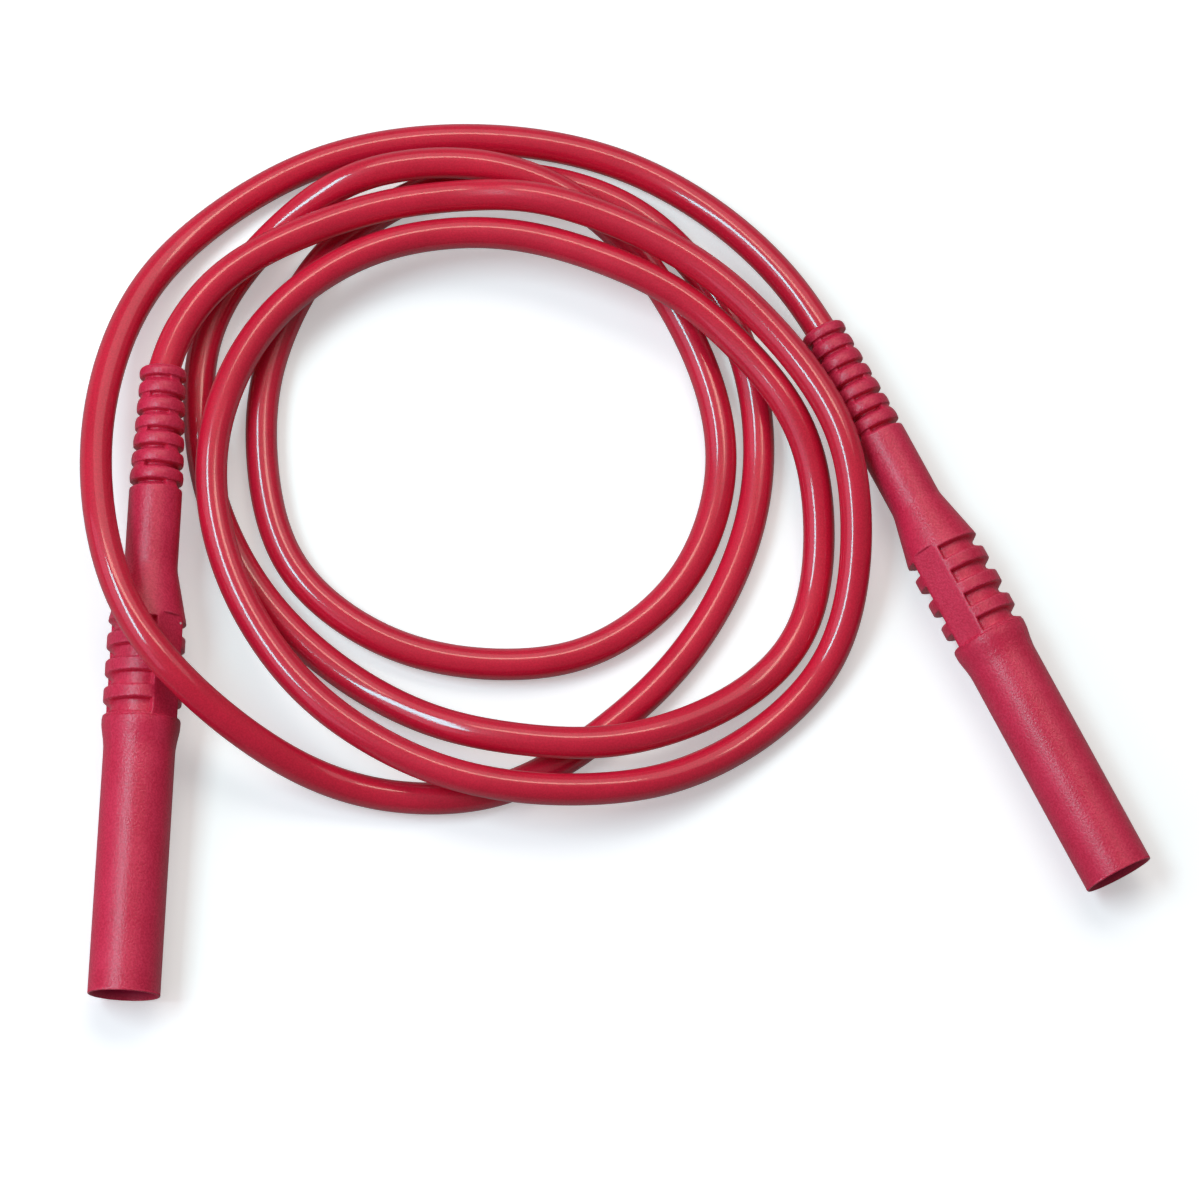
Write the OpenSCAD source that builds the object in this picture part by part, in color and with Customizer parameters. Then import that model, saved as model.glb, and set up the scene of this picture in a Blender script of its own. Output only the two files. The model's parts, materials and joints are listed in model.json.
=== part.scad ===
// Flexible lead with a shrouded plug at each end, lying in a loose coil of four and a half turns.
// Z points up and the floor is z = 0. The origin is on the floor, under the middle of the part's box.
// Each plug is built along its own axis: 0 is the face that the cable enters, and the mouth is at plug_len.

/* [Cable] */
// Outer diameter of the cable
cable_d = 3.8; // [3.2:0.1:3.9]
// Diameter of the bundle of bare strands
strand_d = 1.8; // [1.2:0.1:2.2]

/* [Strain relief] */
// Length of the slotted strain relief
relief_len = 15.2; // [15:0.1:18]
// Outer diameter at the cable end
relief_tip_d = 5.2; // [5:0.1:5.8]
// Outer diameter where the slots end
relief_root_d = 6.3; // [6.2:0.1:7]
// Number of slots along the relief
relief_slots = 7; // [4:1:7]
// Distance from one relief slot to the next
relief_pitch = 2.15; // [1.8:0.05:2.15]
// Width of one relief slot
relief_slot_w = 0.75; // [0.6:0.05:1.1]
// Middle of the first relief slot, from the cable end
relief_first = 1.3; // [1.1:0.1:1.4]
// Material left between the cable and the floor of a slot
relief_floor = 0.2; // [0.15:0.05:0.4]
// Half the angle that the web between two side slots covers
relief_web = 16; // [15:1:30]
// Half the angle that an upper slot covers
upper_slot_half = 74; // [60:1:80]
// Half the angle that a lower slot covers
lower_slot_half = 42; // [30:1:80]

/* [Neck and cone] */
// Length of the plain neck
neck_len = 9.1; // [6:0.1:14]
// Outer diameter of the neck
neck_d = 6.3; // [5.6:0.1:7]
// Length of the cone up to the grip
cone_len = 6.4; // [4:0.1:10]

/* [Grip] */
// Length of the ribbed grip
grip_len = 12; // [11.9:0.1:14]
// Outer diameter over the ribs
grip_d = 9.2; // [8.8:0.1:10.2]
// Number of slots around the ribs
grip_slots = 4; // [2:1:4]
// Distance from one grip slot to the next
grip_pitch = 3.25; // [2.6:0.05:3.35]
// Width of a grip slot at its floor
grip_slot_floor = 0.9; // [0.5:0.05:1.3]
// Width of a grip slot at its mouth
grip_slot_top = 1.75; // [1.4:0.05:1.9]
// Depth of a grip slot
grip_slot_depth = 0.9; // [0.4:0.05:0.95]
// Middle of the first grip slot, from the start of the grip
grip_first = 1.05; // [0.95:0.05:1.2]
// Half the angle that a plain panel covers between the slots
panel_half = 26; // [24:1:30]
// Depth of the flat on a plain panel
panel_depth = 0.35; // [0.15:0.05:0.5]

/* [Shroud] */
// Length of the shroud, from the grip to the mouth
shroud_len = 32.3; // [30:0.1:38]
// Diameter of the collar behind the barrel
collar_d = 9.3; // [8.8:0.1:9.8]
// Length of the collar
collar_len = 1; // [0.8:0.1:3]
// Length of the taper from collar to barrel
taper_len = 2.2; // [1:0.1:4]
// Outer diameter of the barrel
barrel_d = 8.4; // [8.2:0.1:8.6]
// Wall of the barrel at its mouth
barrel_wall = 0.65; // [0.5:0.05:0.8]
// Depth of the open mouth
mouth_depth = 24; // [20:0.5:26]
// Rounding of the mouth's edge
mouth_edge = 0.2; // [0.1:0.05:0.25]

/* [Insulator] */
// Outer diameter of the insulator that carries the contact
insulator_d = 6.4; // [6:0.1:6.8]
// Length of the insulator behind the bottom of the mouth
insulator_len = 15; // [13:0.5:16]

/* [Contact] */
// Diameter of the contact's shoulder and head
contact_d = 3.9; // [3.6:0.1:4]
// Distance from the mouth's edge back to the contact's tip
contact_recess = 2.2; // [1.5:0.1:4]
// Diameter of the shank inside the insulator
shank_d = 3.4; // [3:0.1:3.8]
// Diameter of the flange that holds the contact in the insulator
flange_d = 5.2; // [4.6:0.1:5.4]
// Length of the flange
flange_len = 2; // [1:0.1:3]
// Outer diameter of the crimp barrel
crimp_d = 3.2; // [2.8:0.1:3.4]
// Length of the crimp barrel
crimp_len = 7; // [5:0.5:8]
// Depth of the crimp barrel's bore
crimp_bore_len = 6; // [3:0.5:6]
// Length of bare strands between the cable and the crimp barrel
strand_gap = 0.5; // [0.2:0.1:1.5]
// Diameter of the neck that the spring cage turns on
pin_neck_d = 2.7; // [2.4:0.1:2.8]
// Length of the shoulder behind the cage
shoulder_len = 2; // [1:0.1:4]
// Length of the rounded head in front of the cage
head_len = 2.8; // [2:0.1:3.6]

/* [Spring cage] */
// Radial clearance between the cage and its neck
cage_clear = 0.05; // [0.02:0.01:0.08]
// Gap between the cage's ends and the shoulder and head
cage_play = 0.1; // [0.05:0.05:0.3]
// Thickness of the cage's sheet
cage_wall = 0.2; // [0.15:0.05:0.25]
// Length of the plain ring at each end of the cage
cage_ring = 1.4; // [0.8:0.1:2]
// Diameter over the bulge of the springs
cage_bulge_d = 4.1; // [3.9:0.1:4.4]
// Number of springs around the cage
cage_springs = 8; // [6:1:10]
// Width of the slot between two springs
cage_slot_w = 0.45; // [0.3:0.05:0.55]
// Width of the slit along the rolled sheet
cage_slit_w = 0.25; // [0.15:0.05:0.4]

/* [Lay] */
// Turn of the left plug away from the -Y direction
left_heading = -3; // [-4:0.5:0]
// Turn of the right plug away from the -Y direction
right_heading = 26; // [24:0.5:30]
// Rise of the left plug from its mouth to its cable end, which lies over a turn of the cable
left_pitch = 2; // [1.5:0.5:3]
// Rise of the right plug from its mouth to its cable end
right_pitch = 0; // [0:0.5:2]
// Roll of the left plug, from its panel on top towards the right
left_roll = 43; // [25:1:60]
// Roll of the right plug, from its panel on top towards the right
right_roll = -43; // [-60:1:-25]
// Free gap kept between turns that cross
lay_gap = 0.5; // [0.45:0.05:0.9]
// Free height kept where the cable crosses the left plug
hump_gap = 0.5; // [0.4:0.1:2]

/* [Hidden] */

// Finish colours
cable_colour = [0.78, 0.12, 0.22];
boot_colour = [0.72, 0.15, 0.26];
shroud_colour = [0.74, 0.17, 0.28];
insulator_colour = [0.60, 0.10, 0.18];
metal_colour = [0.80, 0.78, 0.72];
copper_colour = [0.78, 0.45, 0.28];

round_fn = 64;
loose = 1;
whole_turn = 360;
quarter = whole_turn / 4;

// Stations along a plug's axis
neck_at = relief_len;
cone_at = neck_at + neck_len;
grip_at = cone_at + cone_len;
shroud_at = grip_at + grip_len;
plug_len = shroud_at + shroud_len;
mouth_floor = plug_len - mouth_depth;
insulator_at = mouth_floor - insulator_len;
crimp_at = insulator_at - crimp_len;
jacket_end = crimp_at - strand_gap;
panel_from = grip_at - 0.4;
panel_to = shroud_at - 0.3;
tip_at = plug_len - contact_recess;
head_at = tip_at - head_len;
cage_at = mouth_floor + shoulder_len;

// Edge breaks
relief_lip = 0.25;
cone_lip = 0.3;
collar_lip = 0.1;
collar_rise = 0.6;
head_round = 1.3;

// How a plug lies: the way it points in plan, its axis from cable face to mouth, and the height of the
// cable face at which its lowest place just touches the floor
supports = [
    [grip_at, grip_d / 2],
    [shroud_at + collar_len, collar_d / 2],
    [plug_len - mouth_edge, barrel_d / 2]
];
function plan_way(heading) = [sin(heading), -cos(heading)];
function plug_way(heading, pitch) =
    [sin(heading) * cos(pitch), -cos(heading) * cos(pitch), -sin(pitch)];
function rest_height(pitch) = max([for (s = supports) s[0] * sin(pitch) + s[1] * cos(pitch)]);

left_way = plug_way(left_heading, left_pitch);
right_way = plug_way(right_heading, right_pitch);
left_z = rest_height(left_pitch);
right_z = rest_height(right_pitch);

// The coil. Its turns go clockwise from the left, seen from above: 0 is left of the coil's middle,
// 0.25 is beyond it, 0.5 is right of it and 0.75 is in front of it.
coil_x = -14.5;
coil_y = 16.5;
left_exit = [-52.2, 26.3];
right_exit = [27.4, 32.4];
stations_per_turn = 12;
first_station = 1;

// Reach of the cable's middle from the coil's middle at each twelfth of a turn, one row for each turn
reach = [
    [38.5, 34, 32.5, 33, 37, 44, 48.5, 45.5, 40.5, 36.5, 33.5],
    [32, 30.5, 29, 28, 28.5, 33, 40, 44, 40, 34.5, 31, 31],
    [33, 37, 38.5, 37, 34, 30.5, 29.5, 28.5, 27, 25, 25, 26],
    [26, 28.5, 33, 37, 38, 36, 34, 33.5, 35.5, 41, 44, 46.5],
    [45.5, 45.5, 43.5, 42, 43]
];
reaches = [for (row = reach) for (r = row) r];

floor_z = cable_d / 2;
layer = cable_d + lay_gap;
grip_middle = grip_at + grip_len / 2;
left_layer = (left_z - floor_z) / layer;
right_layer = (right_z - floor_z) / layer;
hump_layer = (left_z - grip_middle * sin(left_pitch) + grip_d / 2 + hump_gap) / layer;

// Turn at which a point lies, counted near a given turn
function turn_near(p, near) =
    let (t = atan2(p.y - coil_y, coil_x - p.x) / whole_turn)
    t + round(near - t);
start_turn = turn_near(left_exit, 0);
end_turn = turn_near(right_exit, len(reaches) / stations_per_turn);

// Height of the cable's middle in layers above the floor: [turn, layers], eased from one to the next
lay = [
    [start_turn, left_layer], [0.23, 1.15], [0.29, 1.7], [0.34, 1.7], [0.49, 1.5], [0.60, 0],
    [0.62, 0], [0.71, 1.05], [1, 1], [1.2, 1.05], [1.355, 1.33], [1.46, 1.03], [1.56, 0],
    [1.6, 0], [1.68, 1.03], [1.72, 1.03], [1.84, 0],
    [2.13, 0], [2.2, 1.03], [2.275, 1.03], [2.38, 0],
    [3.79, 0], [3.912, hump_layer], [4.14, 0], [4.33, 0], [end_turn, right_layer]
];

function ease(t) = t * t * (3 - 2 * t);
function layers_at(turn, i = 0) =
    turn <= lay[0][0] ? lay[0][1]
    : i >= len(lay) - 1 ? lay[i][1]
    : turn <= lay[i + 1][0]
        ? let (t = (turn - lay[i][0]) / (lay[i + 1][0] - lay[i][0]))
          lay[i][1] + (lay[i + 1][1] - lay[i][1]) * ease(t)
        : layers_at(turn, i + 1);
function height_at(turn) = floor_z + layer * layers_at(turn);

// Knots of the coil in plan, from one boot's face to the other's
knot_turns = concat(
    [start_turn],
    [for (i = [0 : len(reaches) - 1]) (first_station + i) / stations_per_turn],
    [end_turn]
);
knots = concat(
    [left_exit],
    [for (i = [0 : len(reaches) - 1])
        let (a = whole_turn * knot_turns[i + 1])
        [coil_x - reaches[i] * cos(a), coil_y + reaches[i] * sin(a)]],
    [right_exit]
);
last_knot = len(knots) - 1;

// Rate at which the plan moves with the turn at a knot: along the plug at the ends, else from both spans
function knot_slope(i) =
    i == 0 ? -plan_way(left_heading) * norm(knots[1] - knots[0]) / (knot_turns[1] - knot_turns[0])
    : i == last_knot
        ? plan_way(right_heading) * norm(knots[i] - knots[i - 1]) / (knot_turns[i] - knot_turns[i - 1])
        : let (a = knot_turns[i] - knot_turns[i - 1], b = knot_turns[i + 1] - knot_turns[i])
          ((knots[i] - knots[i - 1]) * b / a + (knots[i + 1] - knots[i]) * a / b) / (a + b);

// Point of a cubic span between knot i and the next
function span_point(i, t) =
    let (
        h = knot_turns[i + 1] - knot_turns[i],
        plan = knots[i] * (2 * t ^ 3 - 3 * t ^ 2 + 1)
            + knot_slope(i) * h * (t ^ 3 - 2 * t ^ 2 + t)
            + knots[i + 1] * (3 * t ^ 2 - 2 * t ^ 3)
            + knot_slope(i + 1) * h * (t ^ 3 - t ^ 2)
    )
    [plan.x, plan.y, height_at(knot_turns[i] + h * t)];

// Middle line of the cable, with a straight end one cable diameter long inside each boot
left_face = [left_exit.x, left_exit.y, left_z];
right_face = [right_exit.x, right_exit.y, right_z];
function middle_line(per_span) = concat(
    [left_face + left_way * cable_d],
    [for (i = [0 : last_knot - 1]) for (j = [0 : per_span - 1]) span_point(i, j / per_span)],
    [right_face, right_face + right_way * cable_d]
);

tube_sides = 6;
rings_per_span = 2;
route = middle_line(rings_per_span);
last_ring = len(route) - 1;

// Direction of the tube at a ring, and the ring's corners, one of them on top
function unit(v) = v / norm(v);
function ring_way(i) =
    i <= 1 ? -left_way
    : i >= last_ring - 1 ? right_way
    : unit(route[i + 1] - route[i - 1]);
function ring_points(i) =
    let (way = ring_way(i), side = unit(cross(way, [0, 0, 1])), above = cross(side, way))
    [for (j = [0 : tube_sides - 1])
        let (a = quarter + whole_turn * j / tube_sides)
        route[i] + cable_d / 2 * (cos(a) * side + sin(a) * above)];
tube_points = [for (i = [0 : last_ring]) for (p = ring_points(i)) p];

// Free gap between turns, measured between points of a finer middle line
gap_line = middle_line(6);
gap_apart = 30;
gap_last = len(gap_line) - 1;
least_gap = min([
    for (i = [0 : gap_last - gap_apart]) for (j = [i + gap_apart : gap_last])
        norm(gap_line[i] - gap_line[j])
]) - cable_d;
echo("least gap of the coil to itself, mm", least_gap);

// Middle of the part's box in plan. A rim reaches furthest where its disc is widest along the axis asked.
rims = [[plug_len - mouth_edge, barrel_d / 2], [plug_len, barrel_d / 2 - mouth_edge]];
function rim_reach(part) = max([for (s = rims) s[0] * part + s[1] * sqrt(1 - part ^ 2)]);
box_left = min([for (p = tube_points) p.x]);
box_right = right_exit.x + rim_reach(right_way.x);
box_front = left_exit.y - rim_reach(-left_way.y);
box_back = max([for (p = tube_points) p.y]);
module centred() {
    translate([-(box_left + box_right) / 2, -(box_front + box_back) / 2, 0]) children();
}

// Puts a piece that is built along a plug's axis where that plug lies
module in_left_plug() {
    centred() translate(left_face)
        rotate([90 + left_pitch, 0, left_heading]) rotate([0, 0, -left_roll]) children();
}
module in_right_plug() {
    centred() translate(right_face)
        rotate([90 + right_pitch, 0, right_heading]) rotate([0, 0, -right_roll]) children();
}

// The coiled cable: one closed tube whose ends lie inside the boots
module cable_coil() {
    ring = tube_sides;
    count = last_ring + 1;
    sides = [
        for (i = [0 : last_ring - 1]) for (j = [0 : ring - 1])
            let (a = i * ring + j, b = i * ring + (j + 1) % ring)
            each [[a, b, b + ring], [a, b + ring, a + ring]]
    ];
    first_cap = [for (j = [1 : ring - 2]) [0, j + 1, j]];
    end = (count - 1) * ring;
    last_cap = [for (j = [1 : ring - 2]) [end, end + j, end + j + 1]];
    color(cable_colour) centred()
        polyhedron(points = tube_points, faces = concat(sides, first_cap, last_cap));
}

// Jacket of the cable inside the plug, from the coil's end to where it is stripped
module cable_jacket() {
    color(cable_colour) translate([0, 0, cable_d])
        difference() {
            cylinder(d = cable_d, h = jacket_end - cable_d, $fn = round_fn);
            translate([0, 0, -loose]) cylinder(d = strand_d, h = jacket_end + 2 * loose, $fn = round_fn);
        }
}

// Copper strands, from the coil's end through the jacket and into the crimp barrel
module conductor() {
    color(copper_colour) translate([0, 0, cable_d])
        cylinder(d = strand_d, h = crimp_at + crimp_bore_len - cable_d, $fn = round_fn);
}

// Arc of a ring cut between radii, reaching as far to both sides of the given direction
module slot(inner_r, floor_w, top_w, depth, middle, towards, half) {
    rotate([0, 0, towards - half])
        rotate_extrude(angle = 2 * half, $fn = round_fn)
            polygon([
                [inner_r, middle - floor_w / 2],
                [inner_r + depth, middle - top_w / 2],
                [inner_r + depth + loose, middle - top_w / 2],
                [inner_r + depth + loose, middle + top_w / 2],
                [inner_r + depth, middle + top_w / 2],
                [inner_r, middle + floor_w / 2]
            ]);
}
module relief_slot(i, towards, half) {
    slot(cable_d / 2 + relief_floor, relief_slot_w, relief_slot_w, neck_d / 2,
        relief_first + i * relief_pitch, towards, half);
}
module grip_slot(i, towards) {
    slot(grip_d / 2 - grip_slot_depth, grip_slot_floor, grip_slot_top, grip_slot_depth,
        grip_at + grip_first + i * grip_pitch, towards, quarter - panel_half);
}

// Outline of the boot turned about its axis, with the bores for cable, crimp barrel and insulator
module boot_blank() {
    rotate_extrude($fn = round_fn) polygon([
        [cable_d / 2, 0],
        [relief_tip_d / 2 - relief_lip, 0],
        [relief_tip_d / 2, relief_lip],
        [relief_root_d / 2, relief_len - relief_lip],
        [neck_d / 2, neck_at + relief_lip],
        [neck_d / 2, cone_at],
        [grip_d / 2 - relief_lip / 2, grip_at - cone_lip],
        [grip_d / 2, grip_at],
        [grip_d / 2, shroud_at - collar_lip],
        [grip_d / 2 - collar_lip, shroud_at],
        [insulator_d / 2, shroud_at],
        [insulator_d / 2, insulator_at],
        [crimp_d / 2, insulator_at],
        [crimp_d / 2, crimp_at],
        [strand_d / 2, crimp_at],
        [strand_d / 2, jacket_end],
        [cable_d / 2, jacket_end]
    ]);
}

// The blank with its slots. The relief has side slots and, between them, upper and lower ones. The grip
// has side slots, and the two panels lie between them.
sides = [0, 2 * quarter];
upper_way = quarter;
lower_way = -quarter;
module slotted_boot() {
    difference() {
        boot_blank();
        for (i = [0 : 2 : relief_slots - 1]) for (way = sides)
            relief_slot(i, way, quarter - relief_web);
        for (i = [1 : 2 : relief_slots - 1]) {
            relief_slot(i, upper_way, upper_slot_half);
            relief_slot(i, lower_way, lower_slot_half);
        }
        for (i = [0 : grip_slots - 1]) for (way = sides)
            grip_slot(i, way);
    }
}

// Moulded boot: slotted strain relief, neck, cone and ribbed grip in one piece, with two flat panels
module boot() {
    color(boot_colour) difference() {
        slotted_boot();
        for (side = [-1, 1])
            translate([-grip_d / 2, side * (grip_d / 2 - panel_depth) + (side < 0 ? -grip_d : 0), panel_from])
                cube([grip_d, grip_d, panel_to - panel_from]);
    }
}

// Moulded shroud: collar, taper and the open barrel that guards the contact
module shroud() {
    mouth_r = barrel_d / 2 - barrel_wall;
    color(shroud_colour) rotate_extrude($fn = round_fn) polygon([
        [insulator_d / 2, shroud_at],
        [grip_d / 2 - collar_lip, shroud_at],
        [collar_d / 2, shroud_at + collar_rise],
        [collar_d / 2, shroud_at + collar_len],
        [barrel_d / 2, shroud_at + collar_len + taper_len],
        [barrel_d / 2, plug_len - mouth_edge],
        [barrel_d / 2 - mouth_edge, plug_len],
        [mouth_r, plug_len],
        [mouth_r, mouth_floor],
        [insulator_d / 2, mouth_floor]
    ]);
}

// Insulator: carries the contact's shank and stops its flange
module insulator() {
    color(insulator_colour) rotate_extrude($fn = round_fn) polygon([
        [flange_d / 2, insulator_at],
        [insulator_d / 2, insulator_at],
        [insulator_d / 2, mouth_floor],
        [shank_d / 2, mouth_floor],
        [shank_d / 2, insulator_at + flange_len],
        [flange_d / 2, insulator_at + flange_len]
    ]);
}

// Turned contact: crimp barrel, flange, shank, shoulder, neck and rounded head
module contact_pin() {
    color(metal_colour) rotate_extrude($fn = round_fn) polygon([
        [0, crimp_at + crimp_bore_len],
        [strand_d / 2, crimp_at + crimp_bore_len],
        [strand_d / 2, crimp_at],
        [crimp_d / 2, crimp_at],
        [crimp_d / 2, insulator_at],
        [flange_d / 2, insulator_at],
        [flange_d / 2, insulator_at + flange_len],
        [shank_d / 2, insulator_at + flange_len],
        [shank_d / 2, mouth_floor],
        [contact_d / 2, mouth_floor],
        [contact_d / 2, cage_at],
        [pin_neck_d / 2, cage_at],
        [pin_neck_d / 2, head_at],
        [contact_d / 2, head_at],
        for (a = [0 : quarter / 6 : quarter])
            [contact_d / 2 - head_round * (1 - cos(a)), tip_at - head_round * (1 - sin(a))],
        [0, tip_at]
    ]);
}

// Spring cage: a rolled sheet with bulged springs that turns freely on the contact's neck
module contact_cage() {
    inner_r = pin_neck_d / 2 + cage_clear;
    ring_r = inner_r + cage_wall;
    bulge_r = cage_bulge_d / 2;
    start = cage_at + cage_play;
    end = head_at - cage_play;
    rise = (end - start) / 3;
    step = whole_turn / cage_springs;
    color(metal_colour) difference() {
        rotate_extrude($fn = round_fn) polygon([
            [inner_r, start],
            [ring_r, start],
            [ring_r, start + cage_ring],
            [bulge_r, start + rise],
            [bulge_r, end - rise],
            [ring_r, end - cage_ring],
            [ring_r, end],
            [inner_r, end],
            [inner_r, end - cage_ring],
            [bulge_r - cage_wall, end - rise],
            [bulge_r - cage_wall, start + rise],
            [inner_r, start + cage_ring]
        ]);
        for (i = [0 : cage_springs - 1])
            rotate([0, 0, i * step])
                translate([0, -cage_slot_w / 2, start + cage_ring])
                    cube([cage_bulge_d, cage_slot_w, end - start - 2 * cage_ring]);
        translate([0, -cage_slit_w / 2, start - loose])
            cube([cage_bulge_d, cage_slit_w, end - start + 2 * loose]);
    }
}

cable_coil();
in_left_plug() cable_jacket();  // left_cable_jacket
in_left_plug() conductor();  // left_conductor
in_left_plug() boot();  // left_boot
in_left_plug() shroud();  // left_shroud
in_left_plug() insulator();  // left_insulator
in_left_plug() contact_pin();  // left_contact_pin
in_left_plug() contact_cage();  // left_contact_cage
in_right_plug() cable_jacket();  // right_cable_jacket
in_right_plug() conductor();  // right_conductor
in_right_plug() boot();  // right_boot
in_right_plug() shroud();  // right_shroud
in_right_plug() insulator();  // right_insulator
in_right_plug() contact_pin();  // right_contact_pin
in_right_plug() contact_cage();  // right_contact_cage
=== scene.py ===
# %% [markdown]
# # A coiled lead with a shrouded plug at each end
#
# The object is one metre of thin, limp cable with a moulded plug on each end, lying in a loose coil of
# four and a half turns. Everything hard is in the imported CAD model: this script loads it as a fixed frame
# and dresses it. The cable, the two boots and the two shrouds get finer surfaces of their own. The
# contacts and the other inner pieces keep their CAD meshes and get finishes.

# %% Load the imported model
import json

import bpy
import numpy as np
from mathutils import Matrix, Vector


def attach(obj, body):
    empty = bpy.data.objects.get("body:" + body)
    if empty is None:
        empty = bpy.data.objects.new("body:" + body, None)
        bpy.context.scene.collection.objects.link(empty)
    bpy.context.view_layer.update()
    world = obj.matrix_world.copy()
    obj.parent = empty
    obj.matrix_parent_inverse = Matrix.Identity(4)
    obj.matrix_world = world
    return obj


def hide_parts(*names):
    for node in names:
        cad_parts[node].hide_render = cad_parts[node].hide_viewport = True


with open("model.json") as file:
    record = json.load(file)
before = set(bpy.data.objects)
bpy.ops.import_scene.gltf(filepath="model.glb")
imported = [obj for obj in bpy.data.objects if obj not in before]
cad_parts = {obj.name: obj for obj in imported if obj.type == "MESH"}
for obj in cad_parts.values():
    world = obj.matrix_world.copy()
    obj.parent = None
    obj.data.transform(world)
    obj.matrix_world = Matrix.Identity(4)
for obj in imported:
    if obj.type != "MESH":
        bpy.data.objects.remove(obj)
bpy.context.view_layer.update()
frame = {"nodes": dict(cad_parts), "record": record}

MM = 0.001
BODY = "lead"

# %% [markdown]
# ## Where the plugs lie
#
# Each plug is a body of revolution with a few flats and slots, so the easiest way to make it is in its own
# coordinates: z along the axis from the face that the cable enters, y towards the panel on the grip. The
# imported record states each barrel's axis as a mount, so the plug's place is read there and isn't typed in
# again. Only the roll about the axis, in degrees, is a choice of its own.

# %% Find each plug's axis, cable face and roll
barrel_mount_at = 60.65 * MM
rolls = {"left": 43.0, "right": -43.0}
mounts = {mount["name"]: mount for mount in frame["record"]["mounts"]}


def plug_place(side):
    """A plug's matrix, the middle of its cable face, and its axis.

    The matrix turns z onto the axis with y as far up as it goes, then rolls y about the axis."""
    mount = mounts[side + "_barrel"]
    way = Vector(mount["axis"]).normalized()
    face = Vector(mount["pos_m"]) - way * barrel_mount_at
    right = way.cross(Vector((0, 0, -1))).normalized()
    above = way.cross(right)
    turned = Matrix((right, above, way)).transposed()
    roll = Matrix.Rotation(np.radians(-rolls[side]), 3, "Z")
    return np.array(turned @ roll), np.array(face), np.array(way)


plugs = {side: plug_place(side) for side in rolls}
for side, (_, face, way) in plugs.items():
    print(side, "plug: cable face", np.round(face / MM, 2), "axis", np.round(way, 4))

# %% [markdown]
# ## The camera
#
# The camera stands about half a metre away and looks down at the floor from 74 degrees, a little from the
# left. A long lens keeps the plugs from leaning apart. The aim is the point of the floor at the middle of
# the picture.

# %% Set up the camera
aim = Vector((-1.16, -5.67, 0)) * MM
distance = 520 * MM
lean_left, lean_front = np.radians(4), np.radians(16)
back = Vector((-np.tan(lean_left), -np.tan(lean_front), 1)).normalized()
up = back.cross(Vector((1, 0, 0))).normalized()
camera_data = bpy.data.cameras.new("camera")
camera_data.sensor_width = 36
camera_data.lens = 130
camera = bpy.data.objects.new("camera", camera_data)
camera.matrix_world = Matrix.Translation(aim + back * distance) @ Matrix(
    (up.cross(back), up, back)).transposed().to_4x4()
bpy.context.scene.collection.objects.link(camera)
bpy.context.scene.camera = camera
print("camera at, mm:", np.round(np.array(camera.matrix_world.translation) / MM, 1))

# %% [markdown]
# ## The cable's route
#
# The coil's turns go clockwise, seen from above, about one middle. The cable's distance from that middle
# is read at each twelfth of a turn, and a cubic joins one reading to the next. The height comes from which
# turn lies on which: it is counted in layers of one cable and a small gap, and eases from one place to the
# next. A last smoothing along the length takes out the small jumps in curvature that cubics leave at their
# joints, because a glossy tube shows them in its highlight. Inside each boot the route goes straight on for
# one diameter of the cable.

# %% Readings of the coil
cable_d = 3.8 * MM
stations_per_turn = 12
middle_from_left_face = np.array([37.7, -9.8]) * MM
reach_rows = [
    [38.5, 34, 32.5, 33, 37, 44, 48.5, 45.5, 40.5, 36.5, 33.5],
    [32, 30.5, 29, 28, 28.5, 33, 40, 44, 40, 34.5, 31, 31],
    [33, 37, 38.5, 37, 34, 30.5, 29.5, 28.5, 27, 25, 25, 26],
    [26, 28.5, 33, 37, 38, 36, 34, 33.5, 35.5, 41, 44, 46.5],
    [45.5, 45.5, 43.5, 42, 43],
]
reaches = np.concatenate([np.array(row, float) for row in reach_rows]) * MM
left_face, left_way = plugs["left"][1:]
right_face, right_way = plugs["right"][1:]
coil_middle = left_face[:2] + middle_from_left_face


def turn_near(point, near):
    """The turn at which a point lies, counted clockwise from the left of the coil's middle."""
    turn = np.arctan2(point[1] - coil_middle[1], coil_middle[0] - point[0]) / (2 * np.pi)
    return turn + round(near - turn)


start_turn = turn_near(left_face, 0)
end_turn = turn_near(right_face, len(reaches) / stations_per_turn)
print("coil: %d readings, from turn %.2f to %.2f" % (len(reaches), start_turn, end_turn))

# %% Which turn lies on which
lay_gap = 0.5 * MM
layer = cable_d + lay_gap
grip_middle_at = 36.7 * MM
grip_r = 4.6 * MM
hump_gap = 0.5 * MM
hump_height = left_face[2] + left_way[2] * grip_middle_at + grip_r + cable_d / 2 + hump_gap


def layers_of(height):
    """How many layers a height of the cable's middle is above the cable's middle on the floor."""
    return (height - cable_d / 2) / layer


# Each entry is a turn and the cable's height there, in layers. The fourth from the end is the hump over
# the left plug's grip.
lay = np.array([
    [start_turn, layers_of(left_face[2])], [0.23, 1.15], [0.29, 1.7], [0.34, 1.7], [0.49, 1.5], [0.60, 0],
    [0.62, 0], [0.71, 1.05], [1, 1], [1.2, 1.05], [1.355, 1.33], [1.46, 1.03], [1.56, 0],
    [1.6, 0], [1.68, 1.03], [1.72, 1.03], [1.84, 0],
    [2.13, 0], [2.2, 1.03], [2.275, 1.03], [2.38, 0],
    [3.79, 0], [3.912, layers_of(hump_height)], [4.14, 0], [4.33, 0], [end_turn, layers_of(right_face[2])],
])


def heights(turns):
    """Height of the cable's middle: from one entry of the lay to the next by the curve 3t^2 - 2t^3."""
    i = np.clip(np.searchsorted(lay[:, 0], turns, side="right") - 1, 0, len(lay) - 2)
    t = np.clip((turns - lay[i, 0]) / (lay[i + 1, 0] - lay[i, 0]), 0, 1)
    layers = lay[i, 1] + (lay[i + 1, 1] - lay[i, 1]) * t * t * (3 - 2 * t)
    return cable_d / 2 + layer * layers


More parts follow.
